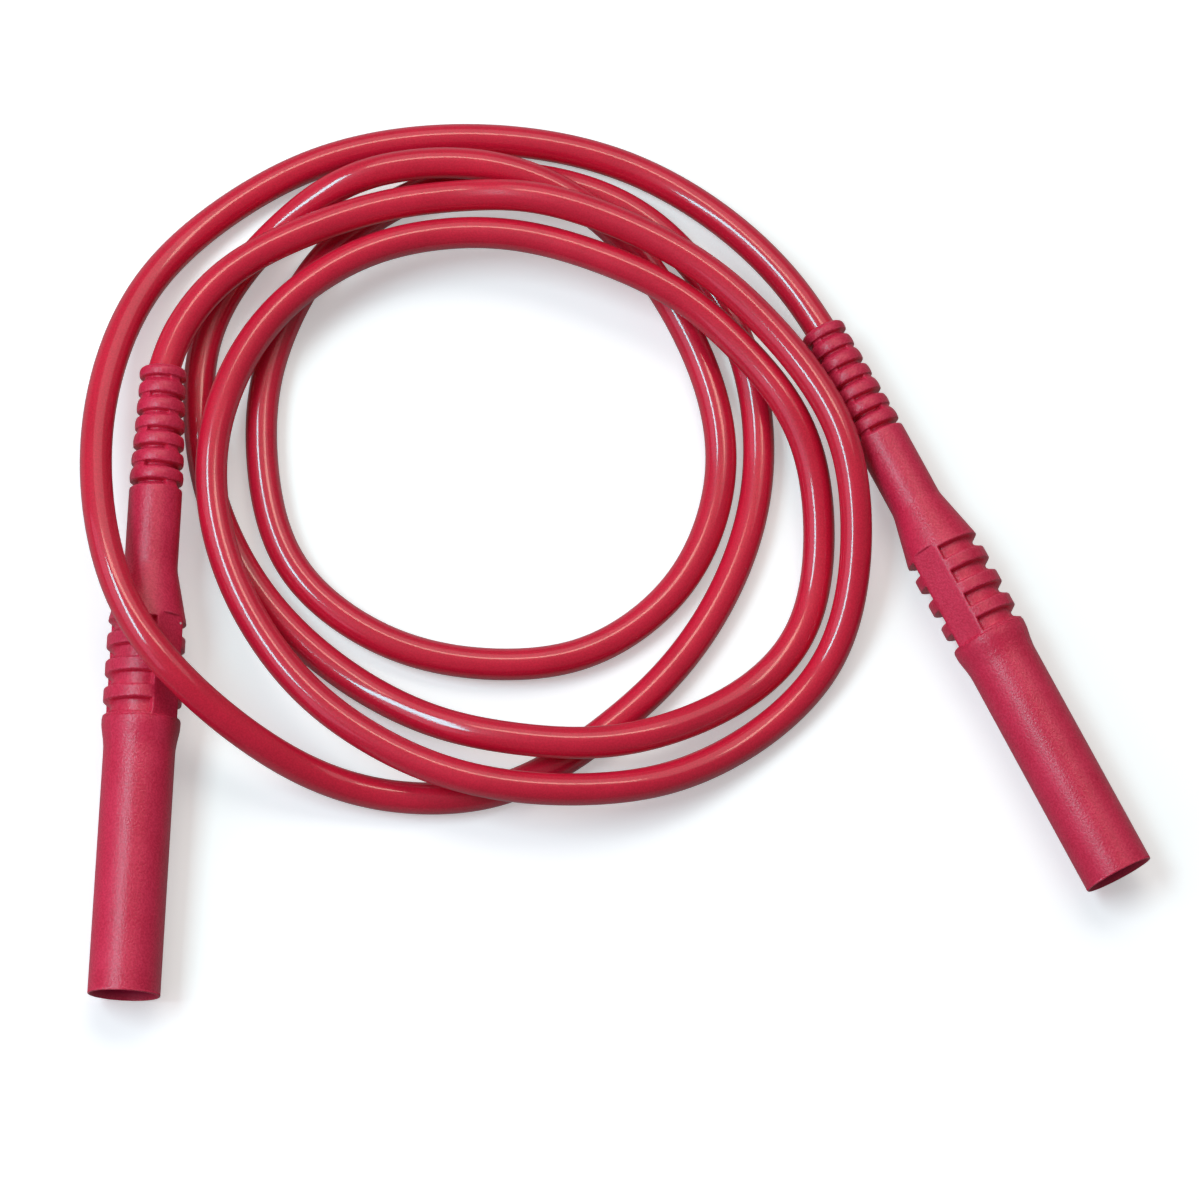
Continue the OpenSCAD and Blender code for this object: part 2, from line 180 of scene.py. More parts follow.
# %% The route seen from above
def plan_route(per_span):
    """Points of the route seen from above, and the turn of each.

    They lie on cubics from knot to knot. The slope at a knot is that of the parabola through it and its
    two neighbours, and at both ends it follows the plug's axis."""
    turns = np.concatenate([[start_turn], (1 + np.arange(len(reaches))) / stations_per_turn, [end_turn]])
    angle = 2 * np.pi * turns[1:-1]
    spokes = np.stack([-np.cos(angle), np.sin(angle)], axis=1)
    knots = np.vstack([left_face[:2], coil_middle + reaches[:, None] * spokes, right_face[:2]])
    step = np.diff(turns)[:, None]
    chord = np.diff(knots, axis=0) / step
    slope = np.empty_like(knots)
    slope[1:-1] = (chord[:-1] * step[1:] + chord[1:] * step[:-1]) / (step[1:] + step[:-1])
    slope[0] = -left_way[:2] / np.linalg.norm(left_way[:2]) * np.linalg.norm(chord[0])
    slope[-1] = right_way[:2] / np.linalg.norm(right_way[:2]) * np.linalg.norm(chord[-1])
    t = np.arange(per_span)[None, :, None] / per_span
    h = step[:, None]
    points = (knots[:-1, None] * (2 * t**3 - 3 * t**2 + 1) + slope[:-1, None] * h * (t**3 - 2 * t**2 + t)
              + knots[1:, None] * (3 * t**2 - 2 * t**3) + slope[1:, None] * h * (t**3 - t**2))
    at = (turns[:-1, None] + step * t[..., 0]).reshape(-1)
    return np.vstack([points.reshape(-1, 2), knots[-1:]]), np.append(at, end_turn)


plan, plan_turns = plan_route(per_span=12)
free_line = np.column_stack([plan, heights(plan_turns)])


# %% Even out the spacing and smooth the line
def way_along(line):
    """Distance along a line from its first point to each of its points."""
    return np.concatenate([[0], np.cumsum(np.linalg.norm(np.diff(line, axis=0), axis=1))])


def evenly(line, spacing):
    """The same line with its points a fixed distance apart."""
    along = way_along(line)
    count = int(round(along[-1] / spacing)) + 1
    wanted = np.linspace(0, along[-1], count)
    return np.column_stack([np.interp(wanted, along, line[:, k]) for k in range(3)])


def smoothed(line, spread):
    """Each point becomes the bell-weighted mean of its neighbours; the ends go straight on and stay put."""
    reach = 3 * spread
    offsets = np.arange(-reach, reach + 1)
    bell = np.exp(-0.5 * (offsets / spread) ** 2)
    bell /= bell.sum()
    before = 2 * line[0] - line[reach:0:-1]
    after = 2 * line[-1] - line[-2:-reach - 2:-1]
    padded = np.vstack([before, line, after])
    return np.column_stack([np.convolve(padded[:, k], bell, mode="valid") for k in range(3)])


ring_spacing = 1.0 * MM
smoothing_rings = 3
inside_boot = cable_d
line = smoothed(evenly(free_line, ring_spacing), smoothing_rings)
inner = np.arange(inside_boot, 0, -ring_spacing)[:, None]
route = np.vstack([left_face + left_way * inner, line, right_face + right_way * inner[::-1]])
print("cable: %d rings, %.1f mm long, %.1f mm of it free, z %.2f to %.2f mm" % (
    len(route), way_along(route)[-1] / MM, way_along(line)[-1] / MM,
    line[:, 2].min() / MM, line[:, 2].max() / MM))

# %% [markdown]
# ## A skin over a grid of points
#
# All new pieces are skins over a grid: each row of the grid is one ring around an axis or a path. The ring
# always closes on itself. A solid that is open inside, such as a boot, has a profile that closes too, so
# its last row joins its first. A tube ends in a point in the middle of each end face instead. Whole arrays
# of corners are worked out at once, and the sign of the volume tells whether the faces have to be turned.

# %% Helpers that make a mesh from a grid
def signed_volume(points, quads):
    """Sum of the signed volumes of the pyramids from the origin to both halves of each quad."""
    a, b, c, d = (points[quads[:, k]] for k in range(4))
    return (np.einsum("ij,ij->i", a, np.cross(b, c)) + np.einsum("ij,ij->i", a, np.cross(c, d))).sum() / 6


def skin(name, grid, loop, uv=None, **attributes):
    """Makes an object over a grid of points with rings as rows, closed all over, with faces outwards.

    loop joins the last row to the first; otherwise each end gets a fan around its middle.
    uv is a pair of arrays for the rows and for the columns, one column more than the grid has.
    Each attribute is an array of one number for every point of the grid."""
    rows, columns = grid.shape[:2]
    index = np.arange(rows * columns).reshape(rows, columns)
    following = np.roll(index, -1, axis=0) if loop else index[1:]
    first = index if loop else index[:-1]
    quads = np.stack([first, np.roll(first, -1, 1), np.roll(following, -1, 1), following], -1)
    quads = quads.reshape(-1, 4)
    points = grid.reshape(-1, 3)
    fans = np.empty((0, 3), int)
    if not loop:
        points = np.vstack([points, grid[0].mean(0), grid[-1].mean(0)])
        start, end = rows * columns, rows * columns + 1
        fans = np.vstack([
            np.stack([np.roll(index[0], -1), index[0], np.full(columns, start)], -1),
            np.stack([index[-1], np.roll(index[-1], -1), np.full(columns, end)], -1)])
    if signed_volume(points, quads) < 0:
        quads, fans = quads[:, ::-1], fans[:, ::-1]
    mesh = bpy.data.meshes.new(name)
    mesh.from_pydata(points.tolist(), [], quads.tolist() + fans.tolist())
    mesh.polygons.foreach_set("use_smooth", np.ones(len(mesh.polygons), bool))
    for label, values in attributes.items():
        padded = np.zeros(len(points), np.float32)
        padded[:rows * columns] = values.reshape(-1)
        mesh.attributes.new(label, "FLOAT", "POINT").data.foreach_set("value", padded)
    if uv is not None:
        add_uv(mesh, uv, rows, columns)
    mesh.update()
    piece = bpy.data.objects.new(name, mesh)
    bpy.context.scene.collection.objects.link(piece)
    print(name, "has", len(mesh.polygons), "faces")
    return piece


def add_uv(mesh, uv, rows, columns):
    """Lays rows along u and columns along v.

    A face at the seam takes its far corners from the last column."""
    along, around = uv
    corner = np.empty(len(mesh.loops), np.int64)
    mesh.loops.foreach_get("vertex_index", corner)
    row, column = np.minimum(corner // columns, rows - 1), corner % columns
    face_size = np.empty(len(mesh.polygons), np.int64)
    mesh.polygons.foreach_get("loop_total", face_size)
    face = np.repeat(np.arange(len(face_size)), face_size)
    widest = np.zeros(len(face_size), np.int64)
    np.maximum.at(widest, face, column)
    column = np.where((column == 0) & (widest[face] == columns - 1), columns, column)
    corners = np.stack([along[row], around[column]], -1).astype(np.float32)
    mesh.uv_layers.new(name="surface").data.foreach_set("uv", corners.reshape(-1))


# %% [markdown]
# ## Shader maths as expressions
#
# A material is a small sum on textures, so it is written as one. The class below wraps a socket: adding or
# multiplying it places a Math node and gives back that node's socket. Every other node comes from one
# method, which sets the node's choices before its sockets.

# %% A socket that can be reckoned with
class Signal:
    """One output socket of a material, with Python's arithmetic on it."""

    def __init__(self, finish, socket):
        self.finish, self.socket = finish, socket

    def _math(self, operation, *values):
        return self.finish.node("ShaderNodeMath", {"operation": operation}, *values)

    def __add__(self, other):
        return self._math("ADD", self, other)

    def __sub__(self, other):
        return self._math("SUBTRACT", self, other)

    def __mul__(self, other):
        return self._math("MULTIPLY", self, other)

    def __rsub__(self, other):
        return self._math("SUBTRACT", other, self)

    __radd__, __rmul__ = __add__, __mul__

    def larger(self, other):
        """The larger of two numbers."""
        return self._math("MAXIMUM", self, other)

    def step(self, low, high):
        """Rises smoothly from 0 at low to 1 at high."""
        settings = {"interpolation_type": "SMOOTHSTEP"}
        return self.finish.node("ShaderNodeMapRange", settings, self, low, high, 0.0, 1.0, output="Result")


# %% A material that is written as expressions
class Finish:
    """A material whose nodes are placed by expressions."""

    def __init__(self, name):
        self.material = bpy.data.materials.new(name)
        self.material.use_nodes = True
        self.tree = self.material.node_tree
        self.tree.nodes.clear()

    def put(self, socket, value):
        """Links a signal to an input, or sets the input to a plain value."""
        if isinstance(value, Signal):
            self.tree.links.new(value.socket, socket)
        else:
            socket.default_value = value

    def node(self, kind, settings, *values, output=0, at=None, **named):
        """Places a node, sets its choices, then its inputs, and returns an output.

        Values are for the inputs in order, at is for inputs by number, and the rest for inputs by name."""
        node = self.tree.nodes.new(kind)
        for label, value in settings.items():
            setattr(node, label, value)
        for i, value in (at or dict(enumerate(values))).items():
            self.put(node.inputs[i], value)
        for label, value in named.items():
            self.put(node.inputs[label.replace("_", " ")], value)
        return Signal(self, node.outputs[output]) if node.outputs else None

    def place(self):
        """Position on the object, in metres."""
        return self.node("ShaderNodeTexCoord", {}, output="Object")

    def attribute(self, label):
        """A number stored at each point of the mesh."""
        return self.node("ShaderNodeAttribute", {"attribute_name": label}, output="Fac")

    def noise(self, place, size, detail=2.0):
        """Cloudy noise around 0.5 with lumps of that size in metres."""
        return self.node("ShaderNodeTexNoise", {}, Vector=place, Scale=1 / size, Detail=detail)

    def dust(self, place, apart, core, edge):
        """1 on specks that lie scattered about that far apart, and 0 between them.

        A speck is full up to core from its middle and ends at edge, both as shares of that distance."""
        away = self.node("ShaderNodeTexVoronoi", {}, Vector=place, Scale=1 / apart, output="Distance")
        return 1 - away.step(core, edge)

    def blend(self, share, first, second):
        """Mixes two colours, which a Mix node has at inputs 6 and 7, into its output 2."""
        inputs = {0: share, 6: first, 7: second}
        return self.node("ShaderNodeMix", {"data_type": "RGBA"}, at=inputs, output=2)

    def relief(self, height, depth):
        """Normal of a surface whose height varies by depth in metres."""
        return self.node("ShaderNodeBump", {}, Strength=1.0, Distance=depth, Height=height, output="Normal")

    def surface(self, **sockets):
        """Ends the material in a Principled shader with these sockets."""
        shader = self.node("ShaderNodeBsdfPrincipled", {}, **sockets)
        self.node("ShaderNodeOutputMaterial", {}, shader)
        print(self.material.name, "is made of", len(self.tree.nodes), "nodes")
        return self.material


# %% [markdown]
# ## The cable
#
# The jacket is soft plastic, drawn through a die. Its body is dull, and a smooth skin on it gives the thin
# bright lines, so the finish is a rough base under a coat. The die leaves faint lines along the length, and
# dust sticks to the jacket. The lines have to follow the cable, so the tube carries a UV map with the
# distance along the cable and around it, both in metres. A curve with a bevel would sweep a tube as well,
# but its UV map counts shares of the length instead of metres.

# %% Sweep the tube along the route
tube_sides = 40


def tube(name, path, radius):
    """Rings of that radius, square to the path, each with a corner at its highest point."""
    way = np.gradient(path, axis=0)
    way /= np.linalg.norm(way, axis=1, keepdims=True)
    side = np.cross(way, [0, 0, 1])
    side /= np.linalg.norm(side, axis=1, keepdims=True)
    above = np.cross(side, way)
    angle = 2 * np.pi * np.arange(tube_sides) / tube_sides
    sideways = np.sin(angle)[:, None] * side[:, None]
    upwards = np.cos(angle)[:, None] * above[:, None]
    around = radius * 2 * np.pi * np.arange(tube_sides + 1) / tube_sides
    grid = path[:, None] + radius * (sideways + upwards)
    return skin(name, grid, loop=False, uv=(way_along(path), around))


cable = tube("cable", route, cable_d / 2)

# %% Red jacket
most_noise = (0.3, 0.7)
jacket_red = (0.78, 0.012, 0.052, 1)
jacket_deep = (0.60, 0.006, 0.034, 1)
dust_white = (0.80, 0.72, 0.72, 1)
die_line_w = 0.35 * MM
die_line_squeeze = 0.02
jacket_patch = 9 * MM
jacket_grain = 0.22 * MM
jacket_dust_apart = 9 * MM
jacket_rough = 0.36
jacket_relief = 0.03 * MM


def jacket_finish():
    """Dull plastic under a smooth skin, with lines along the cable, patches and a few specks of dust.

    The lines are noise on a surface squeezed to a fiftieth of its length, which draws them out. Noise keeps
    mostly to its middle values, so the colours change over just these."""
    finish = Finish("jacket")
    place = finish.place()
    surface = finish.node("ShaderNodeUVMap", {"uv_map": "surface"})
    squeezed = finish.node("ShaderNodeMapping", {}, Vector=surface, Scale=(die_line_squeeze, 1, 1))
    lines = finish.noise(squeezed, die_line_w)
    patches = finish.noise(place, jacket_patch, detail=3.0)
    grain = finish.noise(place, jacket_grain)
    specks = finish.dust(place, jacket_dust_apart, core=0.010, edge=0.022)
    tone = patches.step(*most_noise) * 0.4 + grain.step(*most_noise) * 0.6
    colour = finish.blend(specks, finish.blend(tone, jacket_deep, jacket_red), dust_white)
    rough = patches * 0.08 + grain * 0.08 + specks * 0.4 + jacket_rough
    normal = finish.relief(lines * 0.4 + grain * 0.6, jacket_relief)
    return finish.surface(Base_Color=colour, Roughness=rough, Normal=normal, Specular_IOR_Level=0.25,
                          Coat_Weight=0.9, Coat_Roughness=0.11, Coat_IOR=1.55)


cable.data.materials.append(jacket_finish())
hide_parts("cable_coil")
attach(cable, BODY)

# %% [markdown]
# ## Boots and shrouds as r(s, phi)
#
# A moulded plug is round but for what its mould adds: slots, flats and a fine line where the mould's halves
# met. So its skin is one formula: the radius at a distance s along the axis and an angle phi from the
# panel. The plain outline is a chain of straight stretches. A slot takes some of the radius away inside a
# window in s and a window in phi, and both windows have soft edges, which round the corners as moulding
# does. The boot's tip reaches a little way out over the cable, so s starts below zero.

# %% Stretches of the plug, from the cable to the mouth
relief_len = 15.2 * MM
neck_len = 9.1 * MM
cone_len = 6.4 * MM
grip_len = 12 * MM
shroud_len = 32.3 * MM
cone_at = relief_len + neck_len
grip_at = cone_at + cone_len
shroud_at = grip_at + grip_len
plug_len = shroud_at + shroud_len
boot_start = -0.45 * MM
print("plug: %.1f mm long, its grip from %.1f mm and its shroud from %.1f mm" % (
    plug_len / MM, grip_at / MM, shroud_at / MM))


# %% Windows with soft edges
def soft(x, low, high):
    """0 below low, 1 above high, and 3t^2 - 2t^3 between."""
    t = np.clip((x - low) / (high - low), 0, 1)
    return t * t * (3 - 2 * t)


def soft_step(x, edge, half):
    """0 below an edge and 1 above it, softly over half on each side."""
    return soft(x, edge - half, edge + half)


def rounded_ramp(x, inner, outer, corner):
    """1 for x inside inner, 0 outside outer, straight between, with its corners rounded."""
    t = (outer - x) / (outer - inner)
    c = corner / (outer - inner)
    low = np.where(np.abs(t) < c, (t + c) ** 2 / (4 * c), np.maximum(t, 0))
    u = 1 - t
    high = np.where(np.abs(u) < c, (u + c) ** 2 / (4 * c), np.maximum(u, 0))
    return np.clip(np.where(t < 0.5, low, 1 - high), 0, 1)


def off_axis(phi, axis):
    """Angle in degrees from an axis through the plug, whichever of its ends is nearer: 0 to 90."""
    return np.abs((phi - axis + 90) % 180 - 90)


def from_top_panel(phi):
    """Angle in degrees from the middle of the upper panel, either way: 0 to 180."""
    return np.abs((phi + 180) % 360 - 180)


# %% [markdown]
# The strain relief lets the cable bend at the plug without a kink. Slots divide it into rings, which hang
# together by webs: above and below at one slot, on both sides at the next. Boolean cutters could carve
# the slots, but they leave long thin faces that shade badly. In the formula, a slot's depth is one more
# term of the radius.

# %% Slots of the strain relief
relief_slots = 7
relief_first = 1.3 * MM
relief_pitch = 2.15 * MM
relief_slot_w = 0.75 * MM
relief_floor_wall = 0.2 * MM
relief_floor_r = cable_d / 2 + relief_floor_wall
relief_wall_soft = 0.06 * MM
relief_slot_floor = 0.35 * MM
relief_slot_rise = 0.55 * MM
relief_web_dip = 0.22 * MM
relief_web = 16.0
upper_slot_half = 74.0
lower_slot_half = 42.0
relief_end_soft = 2.5


def relief_cut(s, phi, outer):
    """Depth of the relief's slots: side slots, and between them upper and lower ones.

    Along the axis each is a saw tooth: a steep wall, a short floor and a quarter of a sine up to the next
    ring. Where a slot has its web, a shallow dip goes on round the boot."""
    down = from_top_panel(phi)
    side = soft_step(off_axis(phi, 0), relief_web, relief_end_soft)
    upper = 1 - soft_step(down, upper_slot_half, relief_end_soft)
    lower = soft_step(down, 180 - lower_slot_half, relief_end_soft)
    cut = np.zeros(np.broadcast(s, phi).shape)
    for i in range(relief_slots):
        behind_wall = s - relief_first - i * relief_pitch + relief_slot_w / 2
        wall = soft_step(behind_wall, 0, relief_wall_soft)
        rise = np.sin(np.pi / 2 * np.clip((behind_wall - relief_slot_floor) / relief_slot_rise, 0, 1))
        reach = upper + lower if i % 2 else side
        depth = np.maximum((outer - relief_floor_r) * reach, relief_web_dip)
        cut = np.maximum(cut, depth * wall * (1 - rise))
    return cut


# %% [markdown]
# The grip's slots give the fingers a hold. They run round both sides and stop at the two flat panels.
# Their walls stand upright on the upper half of the plug and slope on the lower half.

# %% Slots and groove of the grip
grip_slots = 4
grip_first = 1.05 * MM
grip_pitch = 3.25 * MM
grip_slot_depth = 0.9 * MM
grip_corner = 0.07 * MM
grip_end_soft = 1.2
upright_to, sloping_from = 85, 115
panel_half = 26.0
slot_floor_half = {"upper": 0.76 * MM, "lower": 0.26 * MM}
slot_top_half = {"upper": 0.86 * MM, "lower": 0.90 * MM}
groove_behind_slot = 0.98 * MM
groove_depth = 0.07 * MM
groove_w = 0.06 * MM


def grip_slot_at(i):
    """Distance along the plug of the middle of the grip's slot number i."""
    return grip_at + grip_first + i * grip_pitch


def beside_panels(phi):
    """1 on the grip's two sides, and 0 on its panels."""
    return soft_step(off_axis(phi, 0), panel_half, grip_end_soft)


def grip_cut(s, phi):
    """Depth of the grip's slots: upright walls on the upper half, and sloping flanks on the lower half."""
    sloping = soft(from_top_panel(phi), upright_to, sloping_from)
    inner, outer = (half["upper"] + (half["lower"] - half["upper"]) * sloping
                    for half in (slot_floor_half, slot_top_half))
    cut = np.zeros(np.broadcast(s, phi).shape)
    for i in range(grip_slots):
        across = np.abs(s - grip_slot_at(i))
        cut = np.maximum(cut, grip_slot_depth * rounded_ramp(across, inner, outer, grip_corner))
    return cut * beside_panels(phi)


def grip_groove(s, phi):
    """Depth of a fine groove behind the last slot, between the panels."""
    away = (s - grip_slot_at(grip_slots - 1) - groove_behind_slot) / groove_w
    return groove_depth * np.exp(-(away**2)) * beside_panels(phi)


# %% [markdown]
# Under its slots the boot is a plain turned shape: a relief that widens towards the plug, a straight neck,
# a cone and the grip. Moulded bends are never quite sharp, so the straight stretches are blended where
# they meet, by a mean of the outline a little behind, at and a little ahead of each place.

# %% The boot's plain outline
relief_tip_r = 2.6 * MM
neck_r = 3.15 * MM
shoulder_from = grip_at - 0.15 * MM
shoulder_to = grip_at + 0.05 * MM
shoulder_h = 0.06 * MM
outline_blend = 0.4 * MM
tip_round = 0.6 * MM
ring_bulge = 0.12 * MM
first_ring_proud = 0.08 * MM
first_ring_from = relief_first - 0.5 * MM


def boot_outline(s):
    """The boot's plain radius: relief, neck, cone and grip, with blended bends and a rounded tip."""
    stations = [0, relief_len, cone_at, shoulder_from, shoulder_to, shroud_at]
    radii = [relief_tip_r, neck_r, neck_r, grip_r - shoulder_h, grip_r, grip_r]
    shifts = (-outline_blend, 0, outline_blend)
    behind, r, ahead = (np.interp(s + shift, stations, radii) for shift in shifts)
    r = r + (behind + ahead - 2 * r) / 4
    into_tip = np.clip(tip_round + boot_start - s, 0, tip_round)
    return r - (tip_round - np.sqrt(np.maximum(tip_round**2 - into_tip**2, 0)))


def relief_swell(s):
    """Each ring between two slots bulges a little, and the first one stands proud."""
    wave = 0.5 - 0.5 * np.cos(2 * np.pi * (s - relief_first) / relief_pitch)
    rings = ring_bulge * wave * (1 - soft(s, relief_len - relief_pitch, relief_len))
    return rings + first_ring_proud * (1 - soft(s, first_ring_from, relief_first))


# %% [markdown]
# Now the terms come together. A panel is a flat at a fixed distance h from the axis. At an angle phi from
# the panel's middle such a flat has the radius h / cos(phi), so wherever the round skin would stand above
# that, the radius comes down to it. The parting line goes on last.

# %% The boot's radius
parting_line_h = 0.03 * MM
parting_line_w = 0.09 * MM
panel_depth = 0.35 * MM
panel_r = grip_r - panel_depth
panel_from = grip_at - 0.4 * MM
panel_step_soft = 0.06 * MM
panel_fade_len = 0.3 * MM


def parting_line(phi, r):
    """A fine ridge where the mould's halves met, a quarter turn from the panels."""
    away = np.radians(off_axis(phi, 90)) * r
    return parting_line_h * np.exp(-((away / parting_line_w) ** 2))


def boot_radius(s, phi):
    """Radius of the boot's outside: outline and swell, less the slots and the two flat panels."""
    plain = boot_outline(s) + relief_swell(s) + 0 * phi
    r = plain - relief_cut(s, phi, plain) - grip_cut(s, phi) - grip_groove(s, phi)
    flat = panel_r / np.cos(np.radians(off_axis(phi, 0)))
    starts = soft_step(s, panel_from, panel_step_soft)
    fades = soft(s, shroud_at - panel_fade_len, shroud_at)
    r = r - np.maximum(r - flat, 0) * starts * (1 - fades)
    return r + parting_line(phi, r) * soft(s, cone_at, grip_at)


# %% [markdown]
# The rows of the grid have to stand close where the radius changes fast and may be far apart on the plain
# neck. So the rows are placed evenly on a scale that counts both the way along the axis and the change in
# radius, taken at the angle where it changes most.

# %% Rows and columns where the shape needs them
trial_rows = 6000
boot_row_count, shroud_row_count = 400, 190
axis_share = 0.6
angle_step = 3.0
edge_angles = 0.8 * np.arange(-3, 4)


def placed_rows(radius, start, end, phi, count):
    """Stations from start to end, even in a share of the way along the axis plus the change in radius."""
    s = np.linspace(start, end, trial_rows)
    change = np.abs(np.diff(radius(s[:, None], phi[None, :]), axis=0)).max(1)
    scale = np.concatenate([[0], np.cumsum(np.diff(s) * axis_share + change)])
    return np.interp(np.linspace(0, scale[-1], count), scale, s)


def placed_angles():
    """Angles in degrees around the plug: even, and closer at the ridge and where slots and flats end."""
    angles = [np.arange(0, 180, angle_step)]
    for edge in (panel_half, relief_web, upper_slot_half, lower_slot_half, 90):
        angles += [edge + edge_angles, 180 - edge + edge_angles]
    angles = np.unique(np.round(np.concatenate(angles) % 180, 1))
    return np.concatenate([angles, angles + 180])


def revolve(s, r, phi):
    """Points of a profile carried round the plug's own z axis, with phi from y towards x."""
    turn = np.radians(phi)
    x, y = r * np.sin(turn), r * np.cos(turn)
    return np.stack([x, y, s + 0 * x], axis=-1)


def in_place(points, side):
    """Points in a plug's own coordinates, put where that plug lies."""
    axes, face, _ = plugs[side]
    return points @ axes.T + face


phi = placed_angles()
steep_angles = np.array([0, 19, 30, 45, 60, 90.0])
boot_rows = placed_rows(boot_radius, boot_start, shroud_at, steep_angles, boot_row_count)
print("boot grid: %d rows of %d points" % (len(boot_rows), len(phi)))

# %% [markdown]
# A boot is hollow: it was moulded around the insulator, the crimped end of the contact, the bare strands
# and the cable's jacket. So its profile goes on inside as a stair of bores, back to the face that the cable
# enters, and closes there.

# %% Boots
mouth_depth = 24 * MM
insulator_r = 3.2 * MM
insulator_len = 15 * MM
crimp_len = 7 * MM
crimp_r = 1.6 * MM
strand_r = 0.9 * MM
strand_gap = 0.5 * MM
inlet_len = 0.3 * MM
inlet_widening = 0.1 * MM
mouth_floor = plug_len - mouth_depth
insulator_at = mouth_floor - insulator_len
crimp_at = insulator_at - crimp_len
jacket_end = crimp_at - strand_gap
# Sharp edges are painted paler: partly wear, partly a painted glint of the lamps.
worn_from, worn_full = 1.5, 7.0


def worn_edges(s, r):
    """1 on sharp outer corners, which get wear and a painted glint, and 0 elsewhere: how fast the slope of
    r along s falls, per millimetre.
    """
    fall = -np.gradient(np.gradient(r, s, axis=0), s, axis=0) * MM
    return soft(fall, worn_from, worn_full)


def boot(side):
    """One boot: its outside, then its bores for insulator, crimp, strands and cable."""
    outside = boot_radius(boot_rows[:, None], phi[None, :])
    bores = np.array([
        [shroud_at, insulator_r], [insulator_at, insulator_r], [insulator_at, crimp_r], [crimp_at, crimp_r],
        [crimp_at, strand_r], [jacket_end, strand_r], [jacket_end, cable_d / 2],
        [boot_start + inlet_len, cable_d / 2], [boot_start, cable_d / 2 + inlet_widening]])
    s = np.concatenate([boot_rows, bores[:, 0]])[:, None]
    r = np.vstack([outside, np.repeat(bores[:, 1:], len(phi), axis=1)])
    # Sharp outer corners are marked for wear and a painted glint.
    worn = np.vstack([worn_edges(boot_rows, outside), np.zeros((len(bores), len(phi)))])
    grid = in_place(revolve(s, r, phi[None, :]), side)
    return skin(side + "_moulded_boot", grid, loop=True, worn=worn)


boots = {side: boot(side) for side in plugs}

# %% [markdown]
# The shroud starts in a collar that stands a little proud of the grip, tapers to a plain barrel and ends in
# a rounded rim. Inside, the mouth widens a little towards the rim, as a mould's core needs to let go.

# %% The shroud's radius
collar_stations = shroud_at + np.array([0, 0.7, 1.1, 1.5, 2.3, 3.2, 3.8]) * MM
collar_radii = np.array([4.62, 4.60, 4.55, 4.48, 4.33, 4.22, 4.20]) * MM
ridge_fade_from = shroud_at + 3 * MM
ridge_fade_to = shroud_at + 9 * MM


def shroud_radius(s, phi):
    """Radius of the shroud's outside: a collar that rises from the grip, a taper and the plain barrel."""
    r = np.interp(s, collar_stations, collar_radii) + 0 * phi
    return r + parting_line(phi, r) * (1 - soft(s, ridge_fade_from, ridge_fade_to))


# %% Shrouds
barrel_r = 4.2 * MM
barrel_wall = 0.65 * MM
mouth_r = barrel_r - barrel_wall
mouth_draft = 0.06 * MM
rim = 0.14 * MM
rim_step = 15
rim_wear_and_glint = 0.5
lead_in = 0.34 * MM
lead_in_len = 0.9 * MM
bore_stations = 40
# Depth into the bore at which its painted shade is full.
bore_shade_from = 0.6 * MM


def shroud(side):
    """One shroud: its outside, the rounded rim of its mouth, a lead-in and its bore with a little draft."""
    rows = placed_rows(shroud_radius, shroud_at, plug_len - rim, phi, shroud_row_count)
    outside = shroud_radius(rows[:, None], phi[None, :])
    half = np.radians(np.arange(0, 181, rim_step))
    edge = np.column_stack([plug_len - rim + rim * np.sin(half), barrel_r - rim + rim * np.cos(half)])
    depths = np.linspace(plug_len - 2 * rim, mouth_floor, bore_stations)
    widening = lead_in * (1 - soft(plug_len - depths, 0, lead_in_len))
    bore = np.column_stack([depths, mouth_r - mouth_draft * (plug_len - depths) / mouth_depth + widening])
    inside = np.vstack([edge, bore, [[mouth_floor, insulator_r], [shroud_at, insulator_r]]])
    s = np.concatenate([rows, inside[:, 0]])[:, None]
    r = np.vstack([outside, np.repeat(inside[:, 1:], len(phi), axis=1)])
    grid = in_place(revolve(s, r, phi[None, :]), side)
    # The rim is marked for wear and a painted glint, like a sharp edge.
    worn = np.zeros(grid.shape[:2])
    worn[len(rows):len(rows) + len(edge)] = rim_wear_and_glint
    # Painted shade: the bore is painted darker from the rim inwards.
    deep = np.repeat(soft(plug_len - s, rim, bore_shade_from), len(phi), axis=1)
    deep[:len(rows)] = 0
    return skin(side + "_moulded_shroud", grid, loop=True, worn=worn, deep=deep)


shrouds = {side: shroud(side) for side in plugs}

# %% [markdown]
# ## The moulded plastic
#
# Boots and shrouds are moulded in tools with a fine eroded grain, so they are duller and a little pinker
# than the cable. Handling rubs the grain off the sharp edges first, so those are smoother. Their paler
# colour is partly that wear and partly a painted glint of the lamps on the edges. The bore is painted
# darker and deeper red, which is painted shade inside the mouth. Where edges and bore are is stored in the
# mesh, because it follows from the formula of the radius.

# %% Grained red plastic
moulded_red = (0.60, 0.015, 0.058, 1)
moulded_pale = (0.77, 0.038, 0.105, 1)
# Paler colour of the sharp edges: partly wear, partly a painted glint.
rubbed_and_glint_red = (0.80, 0.090, 0.160, 1)
# Darker colour of the bore: painted shade inside the mouth.
bore_shade_red = (0.50, 0.000, 0.060, 1)
eroded_grain = 0.25 * MM
fine_grain = 0.12 * MM
moulded_cloud = 4 * MM
moulded_dust_apart = 8 * MM
moulded_rough = 0.25
moulded_relief = 0.07 * MM


